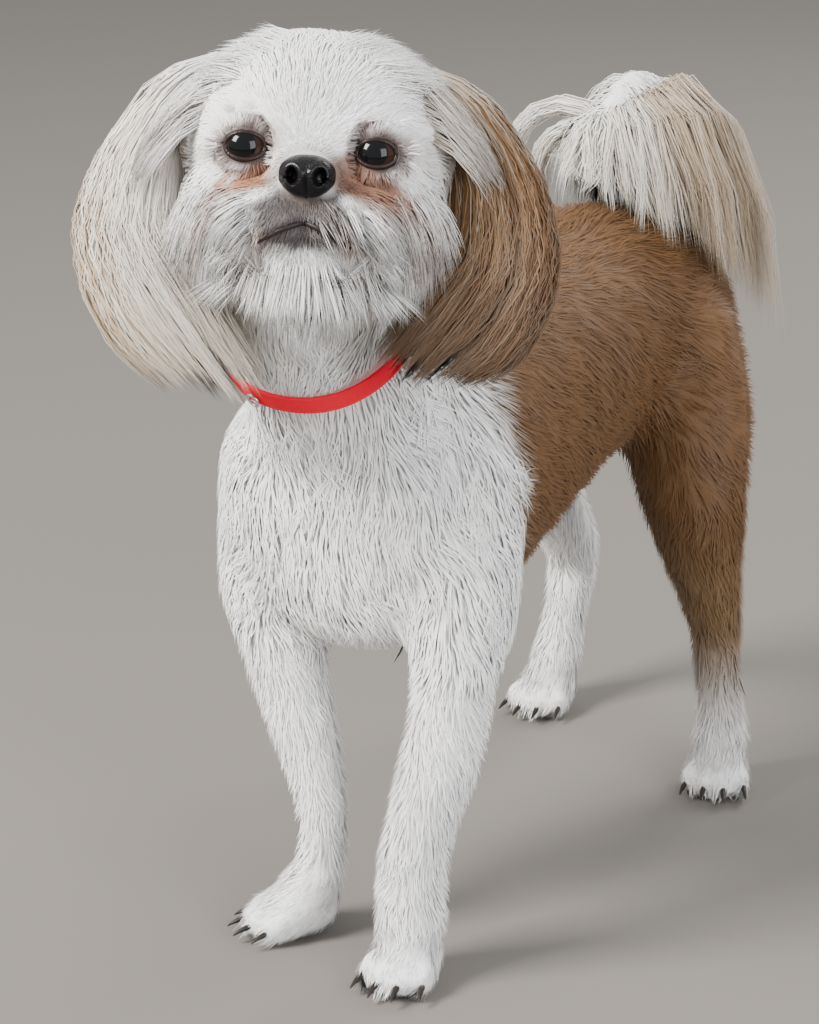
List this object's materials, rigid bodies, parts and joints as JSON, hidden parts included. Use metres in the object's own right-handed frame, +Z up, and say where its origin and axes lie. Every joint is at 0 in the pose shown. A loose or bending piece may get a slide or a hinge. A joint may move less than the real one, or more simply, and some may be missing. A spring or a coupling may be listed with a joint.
{
  "type": "shih tzu, still life-size model",
  "caption": "Standing shih tzu with its head turned and raised, long hanging ears, a plumed tail over the back and a thin red collar with a small ring.",
  "frame": {"origin": "middle of the bounding box on the floor, under the paws", "axes": "-Y towards the chest, +X to the dog's own left, +Z up"},
  "size_m": [0.1892, 0.4482, 0.4037],
  "materials": {
    "coat_white": "short soft white fur",
    "coat_tan": "short dense tan fur, darker at the roots",
    "ear_hair": "long silky hair, golden brown with cream and dark streaks",
    "plume_hair": "long silky cream hair",
    "nose_leather": "moist black nose leather",
    "eye_gloss": "glossy dark brown eyeball",
    "claw_horn": "dark horn",
    "collar_web": "red woven band",
    "ring_steel": "worn steel wire"
  },
  "bodies": {
    "root": {"collar": "collar_web", "collar_ring": "ring_steel", "ear_left": "ear_hair", "ear_right": "ear_hair", "eye_left": "eye_gloss", "eye_right": "eye_gloss", "foreclaw_left_1": "claw_horn", "foreclaw_left_2": "claw_horn", "foreclaw_left_3": "claw_horn", "foreclaw_left_4": "claw_horn", "foreclaw_right_1": "claw_horn", "foreclaw_right_2": "claw_horn", "foreclaw_right_3": "claw_horn", "foreclaw_right_4": "claw_horn", "foreleg_left": "coat_white", "foreleg_right": "coat_white", "forepaw_left": "coat_white", "forepaw_right": "coat_white", "head": "coat_white", "hindclaw_left_1": "claw_horn", "hindclaw_left_2": "claw_horn", "hindclaw_left_3": "claw_horn", "hindclaw_left_4": "claw_horn", "hindclaw_right_1": "claw_horn", "hindclaw_right_2": "claw_horn", "hindclaw_right_3": "claw_horn", "hindclaw_right_4": "claw_horn", "hindleg_left": "coat_tan", "hindleg_right": "coat_tan", "hindpaw_left": "coat_white", "hindpaw_right": "coat_white", "neck": "coat_white", "nose": "nose_leather", "tail": "plume_hair", "torso": "coat_tan"}
  },
  "joints": []
}
